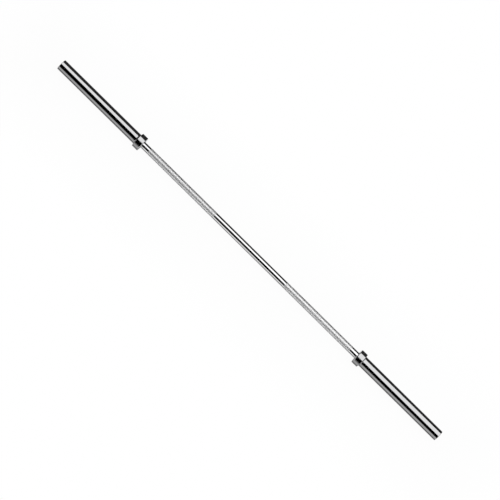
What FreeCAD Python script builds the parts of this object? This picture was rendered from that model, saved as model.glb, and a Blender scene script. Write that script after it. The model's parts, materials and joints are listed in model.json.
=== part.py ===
"""Olympic barbell: a knurled shaft that carries a spinning plate sleeve on bronze bushes at each end.

Millimetres. The bar lies along X with its middle at the origin and +Z up. Each piece of a sleeve is made
for the +X end, and the same piece turned half round about Z serves the -X end.
"""

import FreeCAD
import Part
import math
import os

# Whole bar
COLLAR_SPACING = 1250.0  # between the inner faces of the two collars
COLLAR_WIDTH = 30.0
LOADING_LENGTH = 445.0  # of sleeve beyond each collar, for plates

# Shaft
GRIP_DIAMETER = 30.0
SMOOTH_CENTRE_LENGTH = 408.0  # between the two knurled grips
SMOOTH_END_LENGTH = 37.0  # between a knurled grip and its collar
KNURL_RISE = 0.15  # of the knurl's crests above the smooth bar
KNURL_LEAD = 0.6  # length over which the knurl rises
SHOULDER_HEIGHT = 2.5  # step from the grip down to the journal
SHAFT_EDGE = 1.0  # chamfer of the shaft's ends
CENTRE_HOLE_DIAMETER = 8.0  # turning centre in each end
CENTRE_HOLE_DEPTH = 6.0

# Sleeve
SLEEVE_DIAMETER = 49.0
SLEEVE_WALL = 8.5
SLEEVE_EDGE = 1.0  # chamfer of the outer end
MOUTH_EDGE = 0.8  # chamfer inside the outer end

# Collar
COLLAR_HEIGHT = 9.5  # above the sleeve
COLLAR_GRIP_EDGE = 2.8  # rounding of the rim on the grip's side
COLLAR_PLATE_EDGE = 1.0  # rounding of the rim on the plates' side
COLLAR_FILLET = 6.5  # hollow that runs from the plate face into the sleeve
COLLAR_SEAT_DEPTH = 0.5  # the sleeve is turned down by this where the collar is pressed on

# Bushes, washers and their fits
BUSH_LENGTH = 42.0
BUSH_EDGE = 0.8
GREASE_GROOVE_WIDTH = 4.0
GREASE_GROOVE_DEPTH = 0.8
RUNNING_CLEARANCE = 0.05  # radial, between a journal and its bush
END_FLOAT = 0.1  # between a bush and its thrust washer
WASHER_THICKNESS = 2.0
WASHER_EDGE = 0.3
WASHER_CLEARANCE = 0.1  # radial, between a washer and the journal
BORE_ROOM = 0.6  # radial, between the sleeve's bore and what turns inside it

# Grease seal
SEAL_RECESS = 1.0  # behind the collar's inner face
SEAL_LENGTH = 5.0
SEAL_HEIGHT = 4.0  # from the grip out to the pocket's wall
SEAL_SHELL = 1.6  # part of that height that fills the pocket
LIP_LENGTH = 2.5
LIP_CLEARANCE = 0.1  # radial, between the lip and the grip

# Spring ring on the shaft
RING_THICKNESS = 1.5
RING_GROOVE_DEPTH = 0.6
RING_BAND = 2.6  # mean radial width
RING_TAPER = 0.5  # the band is this much wider at the bottom and narrower at the gap
RING_GAP = 6.0
RING_HOLE_SHARE = 0.45  # of a lug's radius
RING_END_LENGTH = 4.0  # of shaft beyond the ring

# End cap and its spring ring
CAP_LEDGE = 3.5  # radial step that the cap seats on
CAP_THICKNESS = 4.0
CAP_EDGE = 0.5
CAP_DISH_DEPTH = 0.6
CAP_DISH_RIM = 7.0  # flat rim around the dish
CAP_ROOM = 3.0  # between the shaft's end and the cap
CAP_RING_THICKNESS = 1.8
CAP_RING_SETBACK = 3.0  # from the sleeve's outer end
CAP_RING_DEPTH = 1.2  # of its groove
CAP_RING_BAND = 3.0
CAP_RING_TAPER = 0.5
CAP_RING_GAP = 8.0
CAP_LUG_DIAMETER = 5.6

# Radii that follow
grip_radius = GRIP_DIAMETER / 2
journal_radius = grip_radius - SHOULDER_HEIGHT
bush_bore_radius = journal_radius + RUNNING_CLEARANCE
sleeve_radius = SLEEVE_DIAMETER / 2
bore_radius = sleeve_radius - SLEEVE_WALL
seat_radius = sleeve_radius - COLLAR_SEAT_DEPTH
collar_radius = sleeve_radius + COLLAR_HEIGHT
pocket_radius = grip_radius + SEAL_HEIGHT
ring_seat_radius = journal_radius - RING_GROOVE_DEPTH
cap_radius = bore_radius + CAP_LEDGE
cap_groove_radius = cap_radius + CAP_RING_DEPTH

# Places along the +X half, from the collar's inner face outward
collar_face = COLLAR_SPACING / 2
plate_face = collar_face + COLLAR_WIDTH
fillet_end = plate_face + COLLAR_FILLET
sleeve_end = plate_face + LOADING_LENGTH
seal_start = collar_face + SEAL_RECESS
shoulder = seal_start + SEAL_LENGTH
inner_washer_end = shoulder + WASHER_THICKNESS
inner_bush_start = inner_washer_end + END_FLOAT

# Places along the +X half, from the sleeve's outer end inward
cap_ring_end = sleeve_end - CAP_RING_SETBACK
cap_end = cap_ring_end - CAP_RING_THICKNESS
cap_start = cap_end - CAP_THICKNESS
shaft_end = cap_start - CAP_ROOM
ring_end = shaft_end - RING_END_LENGTH
ring_start = ring_end - RING_THICKNESS
outer_washer_start = ring_start - WASHER_THICKNESS
outer_bush_start = outer_washer_start - END_FLOAT - BUSH_LENGTH

ORIGIN = FreeCAD.Vector(0, 0, 0)
BAR_AXIS = FreeCAD.Vector(1, 0, 0)
UP = FreeCAD.Vector(0, 0, 1)
HALF_TURN = 180
FULL_TURN = 360


def at(x, radius):
    """Point of a turned outline: x along the bar and radius out from its axis."""
    return FreeCAD.Vector(x, 0, radius)


def lines(points):
    """Straight edges from point to point."""
    return [Part.makeLine(first, second) for first, second in zip(points, points[1:])]


def quarter_arc(start, end, centre):
    """Quarter circle from start to end about a centre."""
    outward = (start + end) / 2 - centre
    middle = centre + outward.normalize() * (start - centre).Length
    return Part.Arc(start, middle, end).toShape()


def turned(edges):
    """Solid made by turning a closed outline once round the bar's axis."""
    face = Part.Face(Part.Wire(Part.sortEdges(edges)[0]))
    return face.revolve(ORIGIN, BAR_AXIS, FULL_TURN)


def turned_polygon(points):
    """Solid made by turning straight lines through the points, closed back to the first."""
    return turned(lines(points + points[:1]))


def disc(x_start, length, radius, y=0, z=0):
    """Round disc along the bar, with its centre y and z away from the axis."""
    return Part.makeCylinder(radius, length, FreeCAD.Vector(x_start, y, z), BAR_AXIS)


def washer(x_start, x_end, inner_radius, outer_radius, edge):
    """Flat ring with its two outer edges chamfered."""
    return turned_polygon([
        at(x_start, inner_radius),
        at(x_start, outer_radius - edge),
        at(x_start + edge, outer_radius),
        at(x_end - edge, outer_radius),
        at(x_end, outer_radius - edge),
        at(x_end, inner_radius),
    ])


def shaft():
    """Whole bar: smooth centre, raised knurl bands, shouldered journals and ring grooves."""
    knurl_start = SMOOTH_CENTRE_LENGTH / 2
    knurl_end = collar_face - SMOOTH_END_LENGTH
    half = [
        at(knurl_start, grip_radius),
        at(knurl_start + KNURL_LEAD, grip_radius + KNURL_RISE),
        at(knurl_end - KNURL_LEAD, grip_radius + KNURL_RISE),
        at(knurl_end, grip_radius),
        at(shoulder, grip_radius),
        at(shoulder, journal_radius),
        at(ring_start, journal_radius),
        at(ring_start, ring_seat_radius),
        at(ring_end, ring_seat_radius),
        at(ring_end, journal_radius),
        at(shaft_end - SHAFT_EDGE, journal_radius),
        at(shaft_end, journal_radius - SHAFT_EDGE),
        at(shaft_end, CENTRE_HOLE_DIAMETER / 2),
        at(shaft_end - CENTRE_HOLE_DEPTH, 0),
    ]
    other_half = [at(-point.x, point.z) for point in reversed(half)]
    return turned_polygon(other_half + half)


def sleeve():
    """Plate tube with a seat and a seal pocket at the collar and a stepped mouth for the end cap."""
    return turned_polygon([
        at(collar_face, pocket_radius),
        at(collar_face, seat_radius),
        at(fillet_end, seat_radius),
        at(fillet_end, sleeve_radius),
        at(sleeve_end - SLEEVE_EDGE, sleeve_radius),
        at(sleeve_end, sleeve_radius - SLEEVE_EDGE),
        at(sleeve_end, cap_radius + MOUTH_EDGE),
        at(sleeve_end - MOUTH_EDGE, cap_radius),
        at(cap_ring_end, cap_radius),
        at(cap_ring_end, cap_groove_radius),
        at(cap_end, cap_groove_radius),
        at(cap_end, cap_radius),
        at(cap_start, cap_radius),
        at(cap_start, bore_radius),
        at(shoulder, bore_radius),
        at(shoulder, pocket_radius),
    ])


def collar():
    """Ring pressed on the sleeve's seat, with rounded edges and a hollow fillet on the plate side."""
    hollow_radius = sleeve_radius + COLLAR_FILLET
    grip_edge = collar_face + COLLAR_GRIP_EDGE
    grip_edge_radius = collar_radius - COLLAR_GRIP_EDGE
    plate_edge = plate_face - COLLAR_PLATE_EDGE
    plate_edge_radius = collar_radius - COLLAR_PLATE_EDGE
    foot = [
        at(fillet_end, sleeve_radius),
        at(fillet_end, seat_radius),
        at(collar_face, seat_radius),
        at(collar_face, grip_edge_radius),
    ]
    rim = [at(grip_edge, collar_radius), at(plate_edge, collar_radius)]
    face = [at(plate_face, plate_edge_radius), at(plate_face, hollow_radius)]
    return turned(
        lines(foot)
        + [quarter_arc(foot[-1], rim[0], at(grip_edge, grip_edge_radius))]
        + lines(rim)
        + [quarter_arc(rim[-1], face[0], at(plate_edge, plate_edge_radius))]
        + lines(face)
        + [quarter_arc(face[-1], foot[0], at(fillet_end, hollow_radius))]
    )


def bush(x_start):
    """Bronze bush that fills the sleeve's bore, with a grease groove round its own bore."""
    x_end = x_start + BUSH_LENGTH
    groove_start = x_start + (BUSH_LENGTH - GREASE_GROOVE_WIDTH) / 2
    groove_end = groove_start + GREASE_GROOVE_WIDTH
    groove_radius = bush_bore_radius + GREASE_GROOVE_DEPTH
    return turned_polygon([
        at(x_start, bush_bore_radius),
        at(x_start, bore_radius - BUSH_EDGE),
        at(x_start + BUSH_EDGE, bore_radius),
        at(x_end - BUSH_EDGE, bore_radius),
        at(x_end, bore_radius - BUSH_EDGE),
        at(x_end, bush_bore_radius),
        at(groove_end, bush_bore_radius),
        at(groove_end, groove_radius),
        at(groove_start, groove_radius),
        at(groove_start, bush_bore_radius),
    ])


def grease_seal():
    """Rubber ring in the sleeve's pocket whose lip runs round the grip."""
    shell_radius = pocket_radius - SEAL_SHELL
    lip_radius = grip_radius + LIP_CLEARANCE
    return turned_polygon([
        at(seal_start, pocket_radius),
        at(shoulder, pocket_radius),
        at(shoulder, shell_radius),
        at(seal_start + LIP_LENGTH, shell_radius),
        at(seal_start + LIP_LENGTH / 2, lip_radius),
        at(seal_start, shell_radius),
    ])


def thrust_washer(x_start):
    """Steel washer on the journal, clear of the sleeve's bore."""
    return washer(
        x_start,
        x_start + WASHER_THICKNESS,
        journal_radius + WASHER_CLEARANCE,
        bore_radius - BORE_ROOM,
        WASHER_EDGE,
    )


def with_gap_and_lugs(band, x_start, thickness, gap, lug_radius, lug_distance, keep):
    """Spring ring from a closed band: a gap at the top and a holed lug on each side of it."""
    lug_y = gap / 2 + lug_radius
    lug_z = math.sqrt(lug_distance**2 - lug_y**2)
    for y in (-lug_y, lug_y):
        band = band.fuse(keep(disc(x_start, thickness, lug_radius, y, lug_z)))
    for y in (-lug_y, lug_y):
        band = band.cut(disc(x_start, thickness, lug_radius * RING_HOLE_SHARE, y, lug_z))
    corner = FreeCAD.Vector(x_start, -gap / 2, 0)
    return band.cut(Part.makeBox(thickness, gap, lug_distance + lug_radius, corner)).removeSplitter()


def retaining_ring():
    """Spring ring seated in the shaft's groove, with its lugs pointing outward."""
    seat = disc(ring_start, RING_THICKNESS, ring_seat_radius)
    band = disc(ring_start, RING_THICKNESS, ring_seat_radius + RING_BAND, z=-RING_TAPER).cut(seat)
    lug_radius = (bore_radius - BORE_ROOM - ring_seat_radius) / 2
    lug_distance = ring_seat_radius + lug_radius
    return with_gap_and_lugs(
        band, ring_start, RING_THICKNESS, RING_GAP, lug_radius, lug_distance, lambda lug: lug.cut(seat)
    )


def end_cap():
    """Plain disc with a shallow dish, seated on the ledge in the sleeve's mouth."""
    dish_radius = cap_radius - CAP_DISH_RIM
    dish_floor = cap_end - CAP_DISH_DEPTH
    return turned_polygon([
        at(cap_start, 0),
        at(cap_start, cap_radius - CAP_EDGE),
        at(cap_start + CAP_EDGE, cap_radius),
        at(cap_end, cap_radius),
        at(cap_end, dish_radius),
        at(dish_floor, dish_radius - CAP_DISH_DEPTH),
        at(dish_floor, 0),
    ])


def cap_ring():
    """Spring ring seated in the sleeve's groove, with its lugs pointing inward."""
    seat = disc(cap_end, CAP_RING_THICKNESS, cap_groove_radius)
    band = seat.cut(disc(cap_end, CAP_RING_THICKNESS, cap_groove_radius - CAP_RING_BAND, z=CAP_RING_TAPER))
    lug_radius = CAP_LUG_DIAMETER / 2
    lug_distance = cap_groove_radius - lug_radius
    return with_gap_and_lugs(
        band, cap_end, CAP_RING_THICKNESS, CAP_RING_GAP, lug_radius, lug_distance, seat.common
    )


def turned_half_round(shape):
    """The same piece at the other end of the bar."""
    other = shape.copy()
    other.rotate(ORIGIN, UP, HALF_TURN)
    return other


def end_pieces():
    """Every piece of the +X sleeve, by name."""
    return {
        "sleeve": sleeve(),
        "collar": collar(),
        "inner_bush": bush(inner_bush_start),
        "outer_bush": bush(outer_bush_start),
        "grease_seal": grease_seal(),
        "inner_thrust_washer": thrust_washer(shoulder),
        "outer_thrust_washer": thrust_washer(outer_washer_start),
        "retaining_ring": retaining_ring(),
        "end_cap": end_cap(),
        "cap_ring": cap_ring(),
    }


os.makedirs("parts", exist_ok=True)
shaft().exportStep("parts/shaft.step")
for name, piece in end_pieces().items():
    piece.exportStep(f"parts/right_{name}.step")
    turned_half_round(piece).exportStep(f"parts/left_{name}.step")
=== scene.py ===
"""Olympic barbell dressed for a studio picture: bright shaft, knurled grips, plated sleeves and collars.

Metres. The bar lies along X with its middle at the origin and +Z up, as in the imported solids. The larger
pieces are turned again on finer outlines, each where its solid is, and the grips are cut with diamonds. The
bushes, seals, washers and spring rings keep their solids.
"""

import json
import math
from collections import namedtuple

import bpy
import numpy as np
from mathutils import Matrix, Vector


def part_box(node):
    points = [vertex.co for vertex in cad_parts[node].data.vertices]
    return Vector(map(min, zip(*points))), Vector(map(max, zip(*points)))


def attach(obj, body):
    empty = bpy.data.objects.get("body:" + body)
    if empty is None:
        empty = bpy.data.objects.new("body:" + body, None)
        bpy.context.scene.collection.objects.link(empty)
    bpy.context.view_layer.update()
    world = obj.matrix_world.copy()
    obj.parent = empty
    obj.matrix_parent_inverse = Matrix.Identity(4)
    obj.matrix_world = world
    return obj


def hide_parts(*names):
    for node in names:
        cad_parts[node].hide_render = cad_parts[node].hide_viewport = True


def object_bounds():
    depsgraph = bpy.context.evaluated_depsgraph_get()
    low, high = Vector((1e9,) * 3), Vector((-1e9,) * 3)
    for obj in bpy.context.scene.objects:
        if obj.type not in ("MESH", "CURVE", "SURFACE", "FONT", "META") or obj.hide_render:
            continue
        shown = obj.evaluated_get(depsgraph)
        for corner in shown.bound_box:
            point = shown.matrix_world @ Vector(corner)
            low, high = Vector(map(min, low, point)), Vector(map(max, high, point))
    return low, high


bl_info = {
    "name": "Olympic barbell",
    "version": (1, 0, 0),
    "blender": (4, 5, 0),
    "location": "3D View > Sidebar > Barbell",
    "description": "Turns, knurls and plates the pieces of a barbell and sets them on a studio floor",
    "category": "Object",
}

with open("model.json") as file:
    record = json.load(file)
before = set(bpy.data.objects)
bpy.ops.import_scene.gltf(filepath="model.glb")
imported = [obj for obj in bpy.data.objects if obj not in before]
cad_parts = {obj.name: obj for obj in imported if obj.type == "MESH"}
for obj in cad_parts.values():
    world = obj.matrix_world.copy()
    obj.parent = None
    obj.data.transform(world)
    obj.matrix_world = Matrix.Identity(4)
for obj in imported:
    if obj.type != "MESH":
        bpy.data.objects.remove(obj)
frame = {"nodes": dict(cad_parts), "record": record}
cad_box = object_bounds()

ENDS = {"left": -1, "right": 1}
PICTURE_SIDE = 500  # pixels
SENSOR_WIDTH = 36.0  # millimetres, as cameras state it
ARC_STEPS = 8  # along each rounded edge of an outline
ARC_MARGIN = 0.00005  # metres beside an arc that take up its shading and leave the straight even
SHARP_EDGE = math.radians(28)  # faces that meet at more than this keep a sharp edge
MIRROR_ROUNDS = 4  # of nearing the place on the stage that the bar shows
TINY = 1e-6  # metres, for points that are one and the same
WHITE = (1, 1, 1, 1)
MIX_FACTOR, MIX_FIRST, MIX_SECOND, MIX_RESULT = 0, 6, 7, 2  # a Mix node's sockets for colours


def length(name, description, default):
    """Property for a length in metres."""
    return bpy.props.FloatProperty(
        name=name, description=description, default=default, min=0, unit="LENGTH", precision=5
    )


def share(name, description, default):
    """Property for a share from 0 to 1."""
    return bpy.props.FloatProperty(
        name=name, description=description, default=default, min=0, max=1, subtype="FACTOR"
    )


def level(name, description, default):
    """Property for the brightness of a lamp or card, where 1 is white."""
    return bpy.props.FloatProperty(name=name, description=description, default=default, min=0)


def angle(name, description, degrees):
    """Property for an angle, given in degrees."""
    return bpy.props.FloatProperty(
        name=name, description=description, default=math.radians(degrees), subtype="ANGLE"
    )


def colour(name, description, default):
    """Property for the colour of a finish."""
    return bpy.props.FloatVectorProperty(
        name=name, description=description, default=default, min=0, max=1, size=3, subtype="COLOR"
    )


def count(name, description, default):
    """Property for a number of like things."""
    return bpy.props.IntProperty(name=name, description=description, default=default, min=3)


class BarbellSizes(bpy.types.PropertyGroup):
    """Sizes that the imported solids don't give by themselves"""

    turning_steps: count("Turning steps", "Flat steps round each turned piece", 144)
    edge_break: length("Edge break", "Rounding of the small edges", 0.0003)
    mouth_edge: length("Mouth edge", "Chamfer inside a sleeve's outer end", 0.0008)
    cap_rim: length("Cap rim", "Flat rim round the dish of an end cap", 0.007)
    cap_dish: length("Cap dish", "Depth of the dish of an end cap", 0.0006)
    shaft_edge: length("Shaft edge", "Chamfer of the shaft's ends", 0.001)
    centre_radius: length("Centre radius", "Radius of the turning centre in each end of the shaft", 0.004)
    centre_depth: length("Centre depth", "Depth of that turning centre", 0.006)
    running_clearance: length("Running clearance", "Gap between a journal and its bush", 0.00005)
    knurl_rise: length("Knurl rise", "Height of the knurl's tops above the smooth bar", 0.00015)
    knurl_depth: length("Knurl depth", "Depth of the knurl's grooves below its tops", 0.00016)
    knurl_seat: length("Knurl seat", "Depth of the grips' seat below the grooves", 0.0008)
    knurl_pitch: length("Knurl pitch", "Length of one diamond along the bar", 0.0024)
    knurl_columns: count("Knurl columns", "Diamonds side by side round the bar", 54)
    knurl_top: share("Knurl top", "Share of a diamond's width that is flat on top", 0.82)


class BarbellFinishes(bpy.types.PropertyGroup):
    """Colours and polish of the pieces"""

    shaft: colour("Shaft", "Bright plating of the shaft", (0.775, 0.775, 0.78))
    knurl: colour("Knurls", "Plating of the knurled grips", (0.92, 0.92, 0.925))
    sleeve: colour("Sleeves", "Plating of the sleeves and collars", (0.5, 0.5, 0.505))
    cap: colour("End caps", "Turned steel of the end caps", (0.5, 0.5, 0.505))
    bronze: colour("Bushes", "Oil bronze of the bushes", (0.55, 0.34, 0.15))
    rubber: colour("Seals", "Black rubber of the grease seals", (0.018, 0.018, 0.019))
    washer: colour("Washers", "Ground steel of the thrust washers", (0.48, 0.48, 0.48))
    spring: colour("Spring rings", "Blackened steel of the spring rings", (0.09, 0.085, 0.08))
    shaft_roughness: share("Shaft roughness", "Polish of the smooth shaft", 0.07)
    knurl_roughness: share("Knurl roughness", "Polish of the knurl's tops", 0.38)
    sleeve_roughness: share("Sleeve roughness", "Polish of the sleeves and collars", 0.05)


class BarbellStage(bpy.types.PropertyGroup):
    """Camera, lights and cards of the studio"""

    camera_distance: length("Camera distance", "From the lens to the middle of the bar", 9.4)
    camera_height: angle("Camera height", "Angle of the view above the floor", 56)
    picture_turn: angle("Picture turn", "Slope of the bar in the picture, down to the right", 44.588)
    picture_scale: bpy.props.FloatProperty(
        name="Picture scale", description="Pixels in a metre of the bar", default=240.6, min=1
    )
    middle_pixel: bpy.props.FloatVectorProperty(
        name="Middle", description="Pixel at which the bar's middle lies", default=(249.84, 250.2), size=2
    )
    ambient: level("Ambient", "Brightness of the room round the set", 0.25)
    floor: colour("Floor", "Pale paper of the floor", (0.85, 0.85, 0.85))
    floor_half: length("Floor half width", "Reach of the floor each way", 30.0)
    white_near: share("White near", "Share of plain white in the floor as seen beside the bar", 0.965)
    white_mirrored: share("White mirrored", "Share of plain white in the floor as the metal shows it", 0.24)
    whiter_start: length("Whiter start", "From the bar's axis or ends to where the floor pales", 0.05)
    whiter_end: length("Whiter end", "From the bar's axis or ends to where the floor is all white", 0.45)
    softbox: level("Softbox", "Brightness of the softbox and its tabs", 1.5)
    softbox_height: length("Softbox height", "Above the bar's axis", 4.0)
    softbox_left: length("Softbox left", "Reach of the softbox past the bar's middle, to the left", 1.8)
    softbox_right: length("Softbox right", "Reach of the softbox past the bar's middle, to the right", 4.4)
    near_left: length("Near left", "Reach of the softbox's left end towards the camera", 1.64)
    near_right: length("Near right", "Reach of the softbox's right end towards the camera", 3.45)
    far_left: length("Far left", "Reach of the softbox's left end away from the camera", 1.92)
    far_right: length("Far right", "Reach of the softbox's right end away from the camera", 3.75)
    grip_end: length("Grip zone end", "From the bar's middle to where cards stop serving the grip", 0.608)
    collar_start: length("Collar zone start", "From the bar's middle to where they serve a collar", 0.622)
    collar_end: length("Collar zone end", "From the bar's middle to where they stop serving it", 0.658)
    sleeve_start: length("Sleeve zone start", "From the bar's middle to where they serve a sleeve", 0.67)
    glow_height: length("Glow height", "Height at which the near wall's pale foot has faded", 0.25)
    glow_grip: share("Glow before the grip", "Share of white at the near wall's foot, before the grip", 1.0)
    glow_collar: share("Glow before the collars", "Share of white at that foot, before the collars", 0.05)
    glow_sleeve: share("Glow before the sleeves", "Share of white at that foot, before the sleeves", 0.2)
    glow_knurl: share("Glow before the knurls", "Share of white above that foot, before the knurls", 0.44)
    knurl_blend: length("Knurl blend", "Length over which the grey before a knurl begins and ends", 0.04)
    far_flag: level("Far wall", "Brightness of the wall behind the bar", 0.036)
    left_card: level("Left wall", "Brightness of the wall past the left end", 0.02)
    right_card: level("Right wall", "Brightness of the wall past the right end", 0.35)
    card_lift: length("Card lift", "Gap between a level card and the floor or softbox beside it", 0.001)
    smooth_flag_near: length("Near flags", "Width of the flags under the softbox's near side", 0.62)
    knurl_flag_near: length("Near knurl flags", "Width of those that the knurls show", 0.52)
    smooth_flag_far: length("Far flags", "Width of the flags under the softbox's far side", 0.38)
    knurl_flag_far: length("Far knurl flags", "Width of those that the knurls show", 1.0)
    tab_gap: length("Tab gap", "Between a tab and the wall behind it", 0.01)
    tab_near: length("Near tabs", "Length of the tabs on the camera's side", 0.55)
    tab_far: length("Far tabs", "Length of the tabs on the far side", 0.64)
    apron_start: length("Apron start", "From under the bar to the apron on the floor before it", 0.07)
    apron_dark: length("Apron dark", "From under the bar to the apron's darkest part before a collar", 0.33)
    apron_grip: share("Apron before the grip", "Share of white in the apron before the grip", 0.95)
    apron_sleeve: share("Apron before the sleeves", "Share of white in the apron before the sleeves", 0.66)
    apron_collar: share("Apron before the collars", "Share of white in its darkest part", 0.2)
    # The strip is a painted shadow of the bar on the floor, which only the metal shows
    strip_start: length("Strip start", "From under the bar to the dark strip laid before it", 0.026)
    strip_end: length("Strip end", "From under the bar to that strip's other side", 0.062)
    strip: share("Strip", "Share of white in the strip before the bar", 0.2)
    strip_collar: share("Strip before the collars", "Share of white in that strip, before the collars", 0.3)
    cover_start: length("Cover start", "From under the bar to the dark cover on the floor behind it", 0.1)
    cover: level("Cover", "Brightness of the cover behind the bar", 0.04)


class Wire:
    """An output socket in a node tree. Arithmetic on it adds Math nodes, and node() adds any other node."""

    def __init__(self, tree, socket=None):
        self.tree = tree
        self.socket = socket

    def node(self, kind, settings=None, sockets=None, output=0):
        """Adds a node, first its settings and then its sockets' values or wires, and gives an output."""
        added = self.tree.nodes.new(kind)
        for name, value in (settings or {}).items():
            setattr(added, name, value)
        for name, value in (sockets or {}).items():
            if isinstance(value, Wire):
                self.tree.links.new(value.socket, added.inputs[name])
            else:
                added.inputs[name].default_value = value
        return Wire(self.tree, added.outputs[output] if added.outputs else None)

    def maths(self, operation, first, second):
        """Adds a Math node."""
        return self.node("ShaderNodeMath", {"operation": operation}, {0: first, 1: second})

    def __add__(self, other):
        return self.maths("ADD", self, other)

    def __radd__(self, other):
        return self.maths("ADD", other, self)

    def __sub__(self, other):
        return self.maths("SUBTRACT", self, other)

    def __rsub__(self, other):
        return self.maths("SUBTRACT", other, self)

    def __mul__(self, other):
        return self.maths("MULTIPLY", self, other)

    def __rmul__(self, other):
        return self.maths("MULTIPLY", other, self)

    def __truediv__(self, other):
        return self.maths("DIVIDE", self, other)

    def __rtruediv__(self, other):
        return self.maths("DIVIDE", other, self)

    def clamped(self):
        """The value kept between 0 and 1."""
        return self.node("ShaderNodeClamp", None, {"Value": self})

    def unsigned(self):
        """The value without its sign."""
        return self.maths("ABSOLUTE", self, 0)

    def stepped(self, low, high):
        """0 below low, 1 above high and an even slope between them."""
        return ((self - low) / (high - low)).clamped()

    def ranged(self, low, high):
        """The value that lies between low and high as this one does between 0 and 1."""
        return low + self * (high - low)

    def mixed(self, first, second):
        """Colour between first, where the value is 0, and second, where it is 1."""
        sockets = {MIX_FACTOR: self, MIX_FIRST: first, MIX_SECOND: second}
        return self.node("ShaderNodeMix", {"data_type": "RGBA"}, sockets, output=MIX_RESULT)


def opaque(rgb, factor=1.0):
    """A colour property, made darker or lighter by a factor, as a socket takes it."""
    return (rgb[0] * factor, rgb[1] * factor, rgb[2] * factor, 1)


def new_finish(name):
    """A new material with an empty node tree, and a wire to build on."""
    material = bpy.data.materials.new(name)
    material.use_nodes = True
    material.node_tree.nodes.clear()
    return material, Wire(material.node_tree)


def object_place(nodes):
    """Place on the piece, in metres along the bar, across it and up."""
    return nodes.node("ShaderNodeTexCoord", output="Object")


def along_across_up(nodes, place):
    """The three parts of a place."""
    return [nodes.node("ShaderNodeSeparateXYZ", None, {"Vector": place}, output=axis) for axis in "XYZ"]


def stretched_noise(nodes, place, grains, detail=2.0, distortion=0.0):
    """Noise from 0 to 1 with its own number of grains per metre along X, Y and Z."""
    vector = nodes.node("ShaderNodeMapping", None, {"Vector": place, "Scale": grains})
    return nodes.node(
        "ShaderNodeTexNoise",
        None,
        {"Vector": vector, "Scale": 1.0, "Detail": detail, "Roughness": 0.55, "Distortion": distortion},
    )


def even_noise(nodes, place, grains, detail=3.0):
    """Noise from 0 to 1 with as many grains per metre every way."""
    return stretched_noise(nodes, place, (grains, grains, grains), detail)


def axis_distance(nodes, place):
    """Distance from the bar's axis."""
    across = nodes.node("ShaderNodeVectorMath", {"operation": "MULTIPLY"}, {0: place, 1: (0, 1, 1)})
    return nodes.node("ShaderNodeVectorMath", {"operation": "LENGTH"}, {0: across}, output="Value")


def bumped(nodes, height, strength, distance):
    """Surface normal with small relief."""
    sockets = {"Height": height, "Strength": strength, "Distance": distance}
    return nodes.node("ShaderNodeBump", None, sockets)


def even_light(nodes, brightness):
    """Shader that gives off the same white light all over."""
    return nodes.node("ShaderNodeEmission", None, {"Color": WHITE, "Strength": brightness})


def blended(nodes, share_of_second, first, second):
    """Shader between two others."""
    return nodes.node("ShaderNodeMixShader", None, {0: share_of_second, 1: first, 2: second})


def ended(nodes, material, shader):
    """Ends a material in a shader."""
    nodes.node("ShaderNodeOutputMaterial", None, {"Surface": shader})
    return material


def finished(nodes, material, sockets):
    """Ends a material in a Principled shader with these sockets."""
    return ended(nodes, material, nodes.node("ShaderNodeBsdfPrincipled", None, sockets))


def bright_plating(name, rgb, roughness):
    """Polished plating: hairlines round the bar from turning, a soft haze, and faint rubs along the bar."""
    material, nodes = new_finish(name)
    place = object_place(nodes)
    hairlines = stretched_noise(nodes, place, grains=(5200, 30, 30))
    haze = stretched_noise(nodes, place, grains=(9, 60, 60), detail=3.0, distortion=0.6)
    rubs = stretched_noise(nodes, place, grains=(14, 2600, 2600)).stepped(low=0.66, high=0.78)
    wear = (haze.stepped(low=0.35, high=0.75) * 0.6 + rubs * 0.4).clamped()
    return finished(nodes, material, {
        "Base Color": wear.mixed(opaque(rgb), opaque(rgb, factor=0.94)),
        "Metallic": 1.0,
        "Roughness": roughness * wear.ranged(low=0.85, high=1.2) + hairlines * 0.012,
        "Normal": bumped(nodes, hairlines, strength=0.02, distance=0.00002),
    })


def knurled_plating(name, rgb, roughness, top_radius, depth):
    """Plating over a knurl: worn bright on the tops, duller and darker down in the grooves, the more so the
    deeper.
    """
    material, nodes = new_finish(name)
    place = object_place(nodes)
    groove = ((top_radius - axis_distance(nodes, place)) / depth).clamped()
    grain = even_noise(nodes, place, grains=900)
    # Base colour darkens with depth down the grooves, varied by a grain
    groove_darkening = (groove * grain.ranged(low=0.55, high=1.15)).clamped()
    return finished(nodes, material, {
        "Base Color": groove_darkening.mixed(opaque(rgb), opaque(rgb, factor=0.9)),
        "Metallic": 1.0,
        "Roughness": roughness + groove * 0.12 + grain * 0.06,
        "Normal": bumped(nodes, grain, strength=0.08, distance=0.00005),
    })


def faced_steel(name, rgb):
    """Steel faced on a lathe: fine rings about the axis with a satin sheen."""
    material, nodes = new_finish(name)
    place = object_place(nodes)
    rings_per_metre = 4200
    outward = axis_distance(nodes, place) * rings_per_metre
    ring_place = nodes.node("ShaderNodeCombineXYZ", None, {"X": outward})
    rings = nodes.node("ShaderNodeTexNoise", None, {"Vector": ring_place, "Scale": 1.0, "Detail": 3.0})
    cloud = even_noise(nodes, place, grains=120)
    pale = rings * 0.5 + cloud * 0.5
    return finished(nodes, material, {
        "Base Color": pale.mixed(opaque(rgb, factor=0.9), opaque(rgb, factor=1.08)),
        "Metallic": 1.0,
        "Roughness": rings.ranged(low=0.22, high=0.36) + cloud * 0.08,
        "Normal": bumped(nodes, rings, strength=0.12, distance=0.00004),
    })


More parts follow.
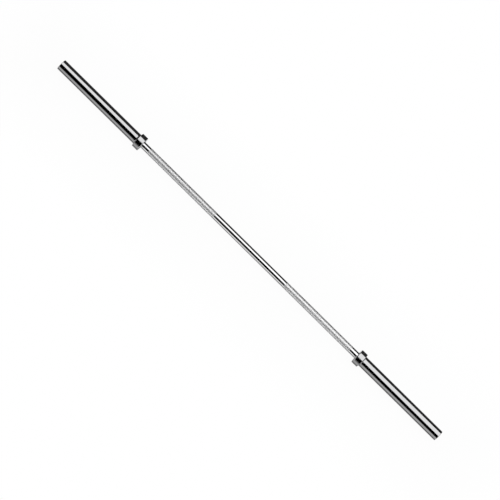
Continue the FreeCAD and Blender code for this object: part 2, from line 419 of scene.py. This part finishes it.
def oil_bronze(name, rgb):
    """Sintered bronze: turned lines, dark oily pores and a warm satin sheen."""
    material, nodes = new_finish(name)
    place = object_place(nodes)
    pores = even_noise(nodes, place, grains=2400, detail=2.0).stepped(low=0.6, high=0.72)
    lines = stretched_noise(nodes, place, grains=(2600, 40, 40))
    dark = (pores * 0.8 + lines * 0.2).clamped()
    return finished(nodes, material, {
        "Base Color": dark.mixed(opaque(rgb), opaque(rgb, factor=0.35)),
        "Metallic": 1.0,
        "Roughness": lines.ranged(low=0.26, high=0.4) + pores * 0.2,
        "Normal": bumped(nodes, lines - pores, strength=0.15, distance=0.00005),
    })


def moulded_rubber(name, rgb):
    """Black rubber: a fine moulded grain with a thin film of grease that shines in places."""
    material, nodes = new_finish(name)
    place = object_place(nodes)
    grain = even_noise(nodes, place, grains=1800)
    film = even_noise(nodes, place, grains=160, detail=2.0).stepped(low=0.45, high=0.65)
    return finished(nodes, material, {
        "Base Color": grain.mixed(opaque(rgb, factor=0.7), opaque(rgb, factor=1.5)),
        "Roughness": film.ranged(low=0.72, high=0.42) + grain * 0.1,
        "Normal": bumped(nodes, grain, strength=0.2, distance=0.00006),
    })


def blackened_steel(name, rgb):
    """Spring steel with a black phosphate skin: fine crystals, rubbed brighter here and there."""
    material, nodes = new_finish(name)
    place = object_place(nodes)
    crystals = even_noise(nodes, place, grains=3200)
    rubbed = even_noise(nodes, place, grains=260).stepped(low=0.55, high=0.75)
    bright = rubbed * 0.7 + crystals * 0.3
    return finished(nodes, material, {
        "Base Color": bright.mixed(opaque(rgb), opaque(rgb, factor=2.6)),
        "Metallic": 0.9,
        "Roughness": crystals.ranged(low=0.42, high=0.58) - rubbed * 0.12,
        "Normal": bumped(nodes, crystals, strength=0.15, distance=0.00003),
    })


def solid_points(node):
    """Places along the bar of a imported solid's points, and their distances from the bar's axis."""
    vertices = frame["nodes"][node].data.vertices
    values = np.empty(len(vertices) * 3)
    vertices.foreach_get("co", values)
    along, across, up = values.reshape(-1, 3).T
    return along, np.hypot(across, up)


def radius_span(node):
    """Least and greatest distance of a solid's points from the bar's axis."""
    _, distance = solid_points(node)
    return float(distance.min()), float(distance.max())


def rim_span(node):
    """Places along the +X half where a solid is at its widest."""
    along, distance = solid_points(node)
    widest = along[(along > 0) & (distance > distance.max() - TINY)]
    return float(widest.min()), float(widest.max())


def x_span(node):
    """Places along the bar where a solid starts and ends."""
    low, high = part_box(node)
    return low.x, high.x


def mount_place(name):
    """Place of one of the record's mounts."""
    return next(mount["pos_m"] for mount in frame["record"]["mounts"] if mount["name"] == name)


def corner_arc(before, corner, after, rounding):
    """Points of the arc that rounds an outline's corner."""
    into = (before - corner).normalized()
    out = (after - corner).normalized()
    half_opening = into.angle(out) / 2
    reach = rounding / math.tan(half_opening)
    centre = corner + (into + out).normalized() * (rounding / math.sin(half_opening))
    start = corner + into * reach - centre
    end = corner + out * reach - centre
    first = math.atan2(start.y, start.x)
    turn = (math.atan2(end.y, end.x) - first + math.pi) % math.tau - math.pi
    steps = [first + turn * step / ARC_STEPS for step in range(ARC_STEPS + 1)]
    arc = [centre + rounding * Vector((math.cos(step), math.sin(step))) for step in steps]
    if (before - corner).length > reach + ARC_MARGIN:
        arc.insert(0, corner + into * (reach + ARC_MARGIN))
    if (after - corner).length > reach + ARC_MARGIN:
        arc.append(corner + out * (reach + ARC_MARGIN))
    return arc


def rounded(corners):
    """Closed outline through (x, radius, rounding) corners, with an arc wherever the rounding isn't 0."""
    places = [Vector(corner[:2]) for corner in corners]
    outline = []
    for index, (_, _, rounding) in enumerate(corners):
        before, corner, after = places[index - 1], places[index], places[(index + 1) % len(places)]
        outline += corner_arc(before, corner, after, rounding) if rounding else [corner]
    return [point for index, point in enumerate(outline) if (point - outline[index - 1]).length > TINY]


def turned_mesh(name, corners, steps):
    """Mesh made by turning a closed outline about the bar's axis. Points on the axis become poles."""
    outline = rounded(corners)
    turn = np.arange(steps) * (math.tau / steps)
    points = []
    rings = []
    for x, radius in outline:
        if radius > 0:
            rings.append([len(points) + step for step in range(steps)])
            points += [(x, radius * math.sin(a), radius * math.cos(a)) for a in turn]
        else:
            rings.append([len(points)] * steps)
            points.append((x, 0, 0))
    faces = []
    for ring, following in zip(rings, rings[1:] + rings[:1]):
        for step in range(steps):
            after = (step + 1) % steps
            corners_of_face = dict.fromkeys((ring[step], ring[after], following[after], following[step]))
            if len(corners_of_face) > 2:
                faces.append(list(corners_of_face))
    return closed_mesh(name, points, faces, smooth=True)


def closed_mesh(name, points, faces, smooth):
    """Mesh of a closed surface with its faces turned outward."""
    mesh = bpy.data.meshes.new(name)
    mesh.from_pydata(points, [], faces)
    corners = np.array([point.co for point in mesh.vertices])
    mesh.calc_loop_triangles()
    triangles = np.array([triangle.vertices for triangle in mesh.loop_triangles])
    first, second, third = (corners[triangles[:, column]] for column in range(3))
    if np.einsum("ij,ij->i", first, np.cross(second, third)).sum() < 0:
        mesh.flip_normals()
    mesh.polygons.foreach_set("use_smooth", [smooth] * len(mesh.polygons))
    if smooth:
        mesh.set_sharp_from_angle(angle=SHARP_EDGE)
    return mesh


def set_piece(mesh, finish, body, slot, *nodes):
    """Puts a mesh on its body as a finished piece that stands for the given solids."""
    mesh.materials.append(finish)
    piece = bpy.data.objects.new(mesh.name, mesh)
    bpy.context.scene.collection.objects.link(piece)
    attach(piece, body)
    if nodes:
        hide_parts(*nodes)


def to_end(corners, side):
    """An outline of the +X end, or its mirror image for the other end."""
    return [(side * x, radius, rounding) for x, radius, rounding in corners]


def shaft_corners(sizes):
    """Outline of the shaft, with a seat under each knurled grip."""
    top_radius = radius_span("shaft")[1]
    grip_radius = top_radius - sizes.knurl_rise
    seat_radius = top_radius - sizes.knurl_depth - sizes.knurl_seat
    journal_radius = radius_span("right_inner_bush")[0] - sizes.running_clearance
    ring_seat_radius = radius_span("right_retaining_ring")[0]
    knurl_start, knurl_end = rim_span("shaft")
    shoulder = x_span("right_inner_thrust_washer")[0]
    ring_start, ring_end = x_span("right_retaining_ring")
    shaft_end = x_span("shaft")[1]
    half = [
        (knurl_start, grip_radius, 0),
        (knurl_start, seat_radius, 0),
        (knurl_end, seat_radius, 0),
        (knurl_end, grip_radius, 0),
        (shoulder, grip_radius, 0),
        (shoulder, journal_radius, 0),
        (ring_start, journal_radius, 0),
        (ring_start, ring_seat_radius, 0),
        (ring_end, ring_seat_radius, 0),
        (ring_end, journal_radius, 0),
        (shaft_end - sizes.shaft_edge, journal_radius, 0),
        (shaft_end, journal_radius - sizes.shaft_edge, 0),
        (shaft_end, sizes.centre_radius, 0),
        (shaft_end - sizes.centre_depth, 0, 0),
    ]
    return to_end(reversed(half), -1) + half


def sleeve_corners(sizes):
    """Outline of the +X sleeve: collar seat, plate surface, stepped mouth, bore and seal pocket."""
    start, end = x_span("right_sleeve")
    radius = radius_span("right_sleeve")[1]
    seat_end, edge_start = rim_span("right_sleeve")
    edge = end - edge_start
    seat_radius = radius_span("right_collar")[0]
    bore_radius = radius_span("right_inner_bush")[1]
    pocket_radius = radius_span("right_grease_seal")[1]
    pocket_end = x_span("right_grease_seal")[1]
    cap_radius = radius_span("right_end_cap")[1]
    cap_start = x_span("right_end_cap")[0]
    ring_start, ring_end = x_span("right_cap_ring")
    groove_radius = radius_span("right_cap_ring")[1]
    return [
        (start, pocket_radius, sizes.edge_break),
        (start, seat_radius, 0),
        (seat_end, seat_radius, 0),
        (seat_end, radius, 0),
        (edge_start, radius, sizes.edge_break),
        (end, radius - edge, sizes.edge_break),
        (end, cap_radius + sizes.mouth_edge, sizes.edge_break),
        (end - sizes.mouth_edge, cap_radius, sizes.edge_break),
        (ring_end, cap_radius, 0),
        (ring_end, groove_radius, 0),
        (ring_start, groove_radius, 0),
        (ring_start, cap_radius, 0),
        (cap_start, cap_radius, 0),
        (cap_start, bore_radius, 0),
        (pocket_end, bore_radius, 0),
        (pocket_end, pocket_radius, 0),
    ]


def collar_corners():
    """Outline of the +X collar: rounded rim and a hollow fillet that runs into the sleeve."""
    start, end = x_span("right_collar")
    seat_radius, radius = radius_span("right_collar")
    rim_start, rim_end = rim_span("right_collar")
    sleeve_radius = radius_span("right_sleeve")[1]
    plate_face = mount_place("right_plate_stop")[0]
    return [
        (start, seat_radius, 0),
        (start, radius, rim_start - start),
        (plate_face, radius, plate_face - rim_end),
        (plate_face, sleeve_radius, end - plate_face),
        (end, sleeve_radius, 0),
        (end, seat_radius, 0),
    ]


def cap_corners(sizes):
    """Outline of the +X end cap: a disc with a shallow dish in its outer face."""
    start, end = x_span("right_end_cap")
    radius = radius_span("right_end_cap")[1]
    dish_radius = radius - sizes.cap_rim
    dish_floor = end - sizes.cap_dish
    return [
        (start, 0, 0),
        (start, radius, sizes.edge_break),
        (end, radius, sizes.edge_break),
        (end, dish_radius, sizes.edge_break),
        (dish_floor, dish_radius - sizes.cap_dish, sizes.edge_break),
        (dish_floor, 0, 0),
    ]


class KnurlLattice:
    """Points and faces of a knurled shell, on a lattice of half pitches along and round the bar."""

    def __init__(self, start, end, top_radius, sizes):
        self.rows = 2 * round((end - start) / sizes.knurl_pitch)
        self.columns = 2 * sizes.knurl_columns
        self.start = start
        self.step = (end - start) / self.rows
        self.top_radius = top_radius
        self.groove_radius = top_radius - sizes.knurl_depth
        self.top_share = sizes.knurl_top
        self.points = []
        self.faces = []
        self.crossings = {}

    def add_point(self, row, column, radius):
        """Adds the point at a row and column of the lattice and gives its number."""
        turn = column * math.tau / self.columns
        x = self.start + row * self.step
        self.points.append((x, radius * math.sin(turn), radius * math.cos(turn)))
        return len(self.points) - 1

    def crossing(self, row, column):
        """Number of the point where two grooves cross, shared by the diamonds round it."""
        place = (row, column % self.columns)
        if place not in self.crossings:
            self.crossings[place] = self.add_point(*place, self.groove_radius)
        return self.crossings[place]

    def add_diamond(self, corners):
        """Adds a flat-topped diamond, or the half of one at a grip's end, on its groove crossings."""
        foot = [self.crossing(row, column) for row, column in corners]
        middle_row = sum(row for row, _ in corners) / len(corners)
        middle_column = sum(column for _, column in corners) / len(corners)
        top = []
        for row, column in corners:
            top_row = middle_row + (row - middle_row) * self.top_share
            top_column = middle_column + (column - middle_column) * self.top_share
            top.append(self.add_point(top_row, top_column, self.top_radius))
        self.faces.append(top)
        for index in range(len(corners)):
            self.faces.append([foot[index - 1], foot[index], top[index], top[index - 1]])

    def fill(self):
        """Adds every diamond. Those on the first and last row are halves."""
        for row in range(self.rows + 1):
            for column in range((row + 1) % 2, self.columns, 2):
                corners = [(row - 1, column), (row, column - 1), (row + 1, column), (row, column + 1)]
                self.add_diamond([corner for corner in corners if 0 <= corner[0] <= self.rows])

    def close(self, seat_radius):
        """Adds the two end faces and the inner wall that sits on the shaft."""
        columns = range(0, self.columns, 2)
        outer = [[self.crossing(row, column) for column in columns] for row in (0, self.rows)]
        inner = [[self.add_point(row, column, seat_radius) for column in columns] for row in (0, self.rows)]
        loops = [outer[0], inner[0], inner[1], outer[1]]
        for loop, following in zip(loops, loops[1:]):
            for index in range(len(loop)):
                self.faces.append([loop[index - 1], loop[index], following[index], following[index - 1]])


def knurl_mesh(name, side, sizes):
    """Closed shell of one knurled grip."""
    start, end = sorted(side * x for x in rim_span("shaft"))
    top_radius = radius_span("shaft")[1]
    lattice = KnurlLattice(start, end, top_radius, sizes)
    lattice.fill()
    lattice.close(lattice.groove_radius - sizes.knurl_seat)
    return closed_mesh(name, lattice.points, lattice.faces, smooth=False)


class BARBELL_OT_shaft(bpy.types.Operator):
    """Turn the bright shaft"""

    bl_idname = "barbell.shaft"
    bl_label = "Shaft"

    def execute(self, context):
        sizes, finishes = context.scene.barbell_sizes, context.scene.barbell_finishes
        mesh = turned_mesh("bright_shaft", shaft_corners(sizes), sizes.turning_steps)
        finish = bright_plating("shaft_plating", finishes.shaft, finishes.shaft_roughness)
        set_piece(mesh, finish, "shaft", "shaft_chrome", "shaft")
        return {"FINISHED"}


class BARBELL_OT_knurls(bpy.types.Operator):
    """Cut the diamonds of the two knurled grips"""

    bl_idname = "barbell.knurls"
    bl_label = "Knurled grips"

    def execute(self, context):
        sizes, finishes = context.scene.barbell_sizes, context.scene.barbell_finishes
        finish = knurled_plating(
            "knurl_plating",
            finishes.knurl,
            finishes.knurl_roughness,
            radius_span("shaft")[1],
            sizes.knurl_depth,
        )
        for end, side in ENDS.items():
            set_piece(knurl_mesh(f"{end}_knurled_grip", side, sizes), finish, "shaft", "shaft_chrome")
        return {"FINISHED"}


class BARBELL_OT_sleeves(bpy.types.Operator):
    """Turn the two plate sleeves and their collars"""

    bl_idname = "barbell.sleeves"
    bl_label = "Sleeves and collars"

    def execute(self, context):
        sizes, finishes = context.scene.barbell_sizes, context.scene.barbell_finishes
        finish = bright_plating("sleeve_plating", finishes.sleeve, finishes.sleeve_roughness)
        for end, side in ENDS.items():
            for piece, corners in (("sleeve", sleeve_corners(sizes)), ("collar", collar_corners())):
                mesh = turned_mesh(f"{end}_plated_{piece}", to_end(corners, side), sizes.turning_steps)
                set_piece(mesh, finish, f"{end}_sleeve_unit", "sleeve_chrome", f"{end}_{piece}")
        return {"FINISHED"}


class BARBELL_OT_caps(bpy.types.Operator):
    """Face the two end caps"""

    bl_idname = "barbell.caps"
    bl_label = "End caps"

    def execute(self, context):
        sizes, finishes = context.scene.barbell_sizes, context.scene.barbell_finishes
        finish = faced_steel("cap_facing", finishes.cap)
        for end, side in ENDS.items():
            mesh = turned_mesh(f"{end}_faced_cap", to_end(cap_corners(sizes), side), sizes.turning_steps)
            set_piece(mesh, finish, f"{end}_sleeve_unit", "cap_steel", f"{end}_end_cap")
        return {"FINISHED"}


class BARBELL_OT_inner_pieces(bpy.types.Operator):
    """Finish the bushes, seals, washers and spring rings, which keep their solids"""

    bl_idname = "barbell.inner_pieces"
    bl_label = "Bushes, seals, washers and rings"

    def execute(self, context):
        finishes = context.scene.barbell_finishes
        bronze = oil_bronze("bush_bronze", finishes.bronze)
        rubber = moulded_rubber("seal_moulding", finishes.rubber)
        washer = faced_steel("washer_facing", finishes.washer)
        spring = blackened_steel("spring_blacking", finishes.spring)
        finish_of = {
            "inner_bush": bronze,
            "outer_bush": bronze,
            "grease_seal": rubber,
            "inner_thrust_washer": washer,
            "outer_thrust_washer": washer,
            "retaining_ring": spring,
            "cap_ring": spring,
        }
        for end in ENDS:
            for piece, finish in finish_of.items():
                materials = frame["nodes"][f"{end}_{piece}"].data.materials
                materials.clear()
                materials.append(finish)
        return {"FINISHED"}


def card(name, corners, material):
    """A flat four-cornered stage piece."""
    mesh = bpy.data.meshes.new(name)
    mesh.from_pydata(corners, [], [range(len(corners))])
    mesh.materials.append(material)
    piece = bpy.data.objects.new(name, mesh)
    bpy.context.scene.collection.objects.link(piece)
    return piece


def flat(height, corners):
    """Corners of a level card."""
    return [(x, y, height) for x, y in corners]


def upright(start, end, ground, top):
    """Corners of a wall on the line from start to end."""
    return [(*start, ground), (*end, ground), (*end, top), (*start, top)]


def glowing(name, brightness):
    """Even light of a softbox, or the grey of a card that the metal shows."""
    material, nodes = new_finish(name)
    return ended(nodes, material, even_light(nodes, brightness))


# A place on the stage: the place along the bar that shows it, and its own place across the bar and up
StagePlace = namedtuple("StagePlace", "facing across up")


def ray_spread(stage, distance):
    """How many times wider than at the bar the camera's rays have spread, at a distance past it."""
    return 1 + distance / stage.camera_distance


def zoned(stage, facing, for_grip, for_collar, for_sleeve):
    """A share that changes along the bar with the piece that shows it: grip, collar or sleeve."""
    past_grip = facing.stepped(stage.grip_end, stage.collar_start)
    past_collar = facing.stepped(stage.collar_end, stage.sleeve_start)
    return for_grip + past_grip * (for_collar - for_grip) + past_collar * (for_sleeve - for_collar)


def near_white(stage, place):
    """Share of white in the near wall: pale at its foot, and grey above where the knurls show it."""
    foot = zoned(stage, place.facing, stage.glow_grip, stage.glow_collar, stage.glow_sleeve)
    start, knurl_end = rim_span("shaft")
    # The grey ends short of the knurl, because gloss spreads it to the smooth shaft beside the collar
    end = knurl_end - stage.knurl_blend
    begun = place.facing.stepped(start, start + stage.knurl_blend)
    over = place.facing.stepped(end - stage.knurl_blend, end)
    above = (begun - over) * stage.glow_knurl
    ground = cad_box[0].z
    return foot + place.up.stepped(ground, ground + stage.glow_height) * (above - foot)


def apron_white(stage, place):
    """Share of white in the apron: brightest before the grip, and darker away from the collars."""
    away = (place.across * -1).stepped(stage.apron_start, stage.apron_dark)
    before_collar = away.ranged(stage.apron_sleeve, stage.apron_collar)
    return zoned(stage, place.facing, stage.apron_grip, before_collar, stage.apron_sleeve)


def shadow_strip_white(stage, place):
    """Share of white in the strip under the bar's near side, a painted shadow of the bar that only the
    metal shows. It is paler under the collars.
    """
    return zoned(stage, place.facing, stage.strip, stage.strip_collar, stage.strip)


def graded_cloth(name, stage, white_share):
    """Cloth between black and white, by a share worked out from the place on the bar that shows it."""
    material, nodes = new_finish(name)
    place = object_place(nodes)
    along, across, up = along_across_up(nodes, place)
    facing = along.unsigned() / ray_spread(stage, axis_distance(nodes, place))
    white = white_share(stage, StagePlace(facing, across, up))
    return ended(nodes, material, blended(nodes, white, even_light(nodes, 0.0), even_light(nodes, 1.0)))


def between(start, end, x):
    """The point at x on the line from start to end."""
    part = (x - start[0]) / (end[0] - start[0])
    return (x, start[1] + part * (end[1] - start[1]))


def mirrored_point(stage, line, x, height):
    """The point at a height over a line that the bar shows at its own place x."""
    point = between(*line, x)
    for _ in range(MIRROR_ROUNDS):
        distance = math.hypot(point[1], height)
        point = between(*line, x * ray_spread(stage, distance))
    return point


def flag_corners(stage, line, width, start, end):
    """Corners of a flag under the softbox, along its side and where a stretch of the bar shows it."""
    inner_line = [(x, y + width) for x, y in line]
    top = stage.softbox_height
    sides = ((line, start), (line, end), (inner_line, end), (inner_line, start))
    return flat(top - stage.card_lift, [mirrored_point(stage, edge, x, top) for edge, x in sides])


def tab_corners(stage, line, side, drop, shift):
    """Corners of a tab that hangs from the softbox where a collar shows it."""
    collar = (side * x_span("right_collar")[0], side * mount_place("right_plate_stop")[0])
    top = stage.softbox_height
    corners = []
    for height, places in ((top - drop, collar), (top, reversed(collar))):
        for place in places:
            x, y = mirrored_point(stage, line, place, height)
            corners.append((x, y + shift, height))
    return corners


def mirrored_card(name, corners, material):
    """A card that only the metal shows. It neither lights nor shades the set."""
    material.cycles.emission_sampling = "NONE"
    piece = card(name, corners, material)
    piece.visible_camera = False
    piece.visible_diffuse = False
    piece.visible_shadow = False


def lay_floor(stage):
    """Lays the pale floor under the bar."""
    reach = stage.floor_half
    square = [(-reach, -reach), (reach, -reach), (reach, reach), (-reach, reach)]
    card("floor", flat(cad_box[0].z, square), floor_paper(stage))


def softbox_edges(stage):
    """The softbox's near and far edges from above, each from left to right."""
    left, right = -stage.softbox_left, stage.softbox_right
    near = ((left, -stage.near_left), (right, -stage.near_right))
    far = ((left, stage.far_left), (right, stage.far_right))
    return near, far


def hang_softbox(stage, near, far):
    """Hangs the softbox over the bar, hidden from the camera."""
    corners = flat(stage.softbox_height, [near[0], far[0], far[1], near[1]])
    softbox = card("softbox", corners, glowing("softbox_cloth", stage.softbox))
    softbox.visible_camera = False


def stand_walls(stage, near, far):
    """Stands a wall under each side of the softbox."""
    ground, top = cad_box[0].z, stage.softbox_height
    near_cloth = graded_cloth("near_cloth", stage, near_white)
    mirrored_card("near_flag", upright(*near, ground, top), near_cloth)
    for name, line, brightness in (
        ("far_flag", far, stage.far_flag),
        ("left_card", (near[0], far[0]), stage.left_card),
        ("right_card", (near[1], far[1]), stage.right_card),
    ):
        mirrored_card(name, upright(*line, ground, top), glowing(f"{name}_cloth", brightness))


def lay_floor_cards(stage, near, far):
    """Lays the cards that the bar's lower sides show: apron and a strip of painted shadow before it, and a
    cover behind.
    """
    left, right = -stage.softbox_left, stage.softbox_right
    strip_edge = ((left, -stage.strip_end), (right, -stage.strip_end))
    for name, start, edge, cloth in (
        ("apron", -stage.apron_start, near, graded_cloth("apron_cloth", stage, apron_white)),
        ("floor_shadow_strip", -stage.strip_start, strip_edge, graded_cloth("shadow_strip_cloth", stage, shadow_strip_white)),
        ("floor_cover", stage.cover_start, far, glowing("floor_cover_cloth", stage.cover)),
    ):
        corners = [(left, start), (right, start), edge[1], edge[0]]
        mirrored_card(name, flat(cad_box[0].z + stage.card_lift, corners), cloth)


def hang_flags(stage, near, far):
    """Hangs black flags under the softbox's long sides, one for each stretch of the shaft."""
    knurl_start, knurl_end = rim_span("shaft")
    grip_end = x_span("right_collar")[0]
    cloth = glowing("flag_cloth", brightness=0.0)
    for name, edge, smooth_width, knurl_width in (
        ("near_flag", near, stage.smooth_flag_near, stage.knurl_flag_near),
        ("far_flag", far, -stage.smooth_flag_far, -stage.knurl_flag_far),
    ):
        for stretch, start, end, width in (
            ("left_end", -grip_end, -knurl_end, smooth_width),
            ("left_knurl", -knurl_end, -knurl_start, knurl_width),
            ("centre", -knurl_start, knurl_start, smooth_width),
            ("right_knurl", knurl_start, knurl_end, knurl_width),
            ("right_end", knurl_end, grip_end, smooth_width),
        ):
            mirrored_card(f"{stretch}_{name}", flag_corners(stage, edge, width, start, end), cloth)


def hang_tabs(stage, near, far):
    """Hangs bright tabs from the softbox's long sides, one for each collar."""
    cloth = glowing("tab_cloth", stage.softbox)
    for name, edge, drop, shift in (
        ("near_tab", near, stage.tab_near, stage.tab_gap),
        ("far_tab", far, stage.tab_far, -stage.tab_gap),
    ):
        for end, side in ENDS.items():
            mirrored_card(f"{end}_{name}", tab_corners(stage, edge, side, drop, shift), cloth)


def seen_rays(nodes):
    """1 for the rays by which the camera sees the stage, and 1 for those by which the metal shows it."""
    rays = {
        name: nodes.node("ShaderNodeLightPath", output=f"Is {name} Ray")
        for name in ("Camera", "Glossy", "Transmission")
    }
    return rays["Camera"], (rays["Glossy"] + rays["Transmission"]).clamped()


def floor_paper(stage):
    """Pale paper that reads as white: fully so away from the bar, and beside it with the bar's shadow."""
    material, nodes = new_finish("floor_paper")
    along, across, _ = along_across_up(nodes, object_place(nodes))
    past_end = along.unsigned() - cad_box[1].x
    away = nodes.maths("MAXIMUM", across.unsigned(), past_end)
    whiter = away.stepped(stage.whiter_start, stage.whiter_end)
    seen, mirrored = seen_rays(nodes)
    white = seen * whiter.ranged(stage.white_near, 1) + mirrored * stage.white_mirrored
    lit = nodes.node("ShaderNodeBsdfDiffuse", None, {"Color": opaque(stage.floor)})
    return ended(nodes, material, blended(nodes, white, lit, even_light(nodes, 1.0)))


def set_world(stage):
    """White surround where it is seen, and a dim room for the soft light between."""
    world = bpy.data.worlds.new("studio")
    world.use_nodes = True
    world.node_tree.nodes.clear()
    nodes = Wire(world.node_tree)
    seen, mirrored = seen_rays(nodes)
    room = nodes.node("ShaderNodeBackground", None, {"Color": WHITE, "Strength": stage.ambient})
    white = nodes.node("ShaderNodeBackground", None, {"Color": WHITE, "Strength": 1.0})
    surface = blended(nodes, (seen + mirrored).clamped(), room, white)
    nodes.node("ShaderNodeOutputWorld", None, {"Surface": surface})
    bpy.context.scene.world = world


def set_camera(stage):
    """Camera square to the bar, turned so that the bar runs down to the right."""
    height = stage.camera_height
    back = Vector((0, -math.cos(height), math.sin(height)))
    level_right = Vector((1, 0, 0))
    level_up = back.cross(level_right)
    right = level_right * math.cos(stage.picture_turn) + level_up * math.sin(stage.picture_turn)
    up = back.cross(right)
    picture_middle = Vector((PICTURE_SIDE, PICTURE_SIDE)) / 2
    offset = (Vector(stage.middle_pixel) - picture_middle) / stage.picture_scale
    data = bpy.data.cameras.new("camera")
    data.sensor_width = SENSOR_WIDTH
    data.lens = SENSOR_WIDTH * stage.camera_distance * stage.picture_scale / PICTURE_SIDE
    data.clip_end = stage.floor_half * 2
    camera = bpy.data.objects.new("camera", data)
    turn = Matrix((right, up, back)).transposed().to_4x4()
    place = back * stage.camera_distance - right * offset.x + up * offset.y
    camera.matrix_world = Matrix.Translation(place) @ turn
    bpy.context.scene.collection.objects.link(camera)
    bpy.context.scene.camera = camera


class BARBELL_OT_stage(bpy.types.Operator):
    """Lay the floor, hang the softbox and the cards round the bar, and set the camera"""

    bl_idname = "barbell.stage"
    bl_label = "Studio"

    def execute(self, context):
        stage = context.scene.barbell_stage
        near, far = softbox_edges(stage)
        lay_floor(stage)
        hang_softbox(stage, near, far)
        stand_walls(stage, near, far)
        lay_floor_cards(stage, near, far)
        hang_flags(stage, near, far)
        hang_tabs(stage, near, far)
        set_world(stage)
        set_camera(stage)
        context.scene.view_settings.view_transform = "Standard"
        return {"FINISHED"}


class BARBELL_PT_pieces(bpy.types.Panel):
    """Pieces of the barbell, their sizes and their finishes"""

    bl_idname = "BARBELL_PT_pieces"
    bl_label = "Olympic barbell"
    bl_space_type = "VIEW_3D"
    bl_region_type = "UI"
    bl_category = "Barbell"

    def draw(self, context):
        for operator in OPERATORS:
            self.layout.operator(operator.bl_idname)
        for group_name, group in GROUPS.items():
            box = self.layout.box()
            for name in group.__annotations__:
                box.prop(getattr(context.scene, group_name), name)


GROUPS = {
    "barbell_sizes": BarbellSizes,
    "barbell_finishes": BarbellFinishes,
    "barbell_stage": BarbellStage,
}
OPERATORS = (
    BARBELL_OT_shaft,
    BARBELL_OT_knurls,
    BARBELL_OT_sleeves,
    BARBELL_OT_caps,
    BARBELL_OT_inner_pieces,
    BARBELL_OT_stage,
)


def register():
    """Adds the classes and the scene's property groups."""
    for cls in (*GROUPS.values(), *OPERATORS, BARBELL_PT_pieces):
        bpy.utils.register_class(cls)
    for name, group in GROUPS.items():
        setattr(bpy.types.Scene, name, bpy.props.PointerProperty(type=group))


def unregister():
    """Takes them away again."""
    for name in GROUPS:
        delattr(bpy.types.Scene, name)
    for cls in (BARBELL_PT_pieces, *reversed(OPERATORS), *reversed(GROUPS.values())):
        bpy.utils.unregister_class(cls)


def main():
    """Makes every piece and the studio."""
    register()
    bpy.ops.barbell.shaft()
    bpy.ops.barbell.knurls()
    bpy.ops.barbell.sleeves()
    bpy.ops.barbell.caps()
    bpy.ops.barbell.inner_pieces()
    bpy.ops.barbell.stage()


if __name__ == "__main__":
    main()
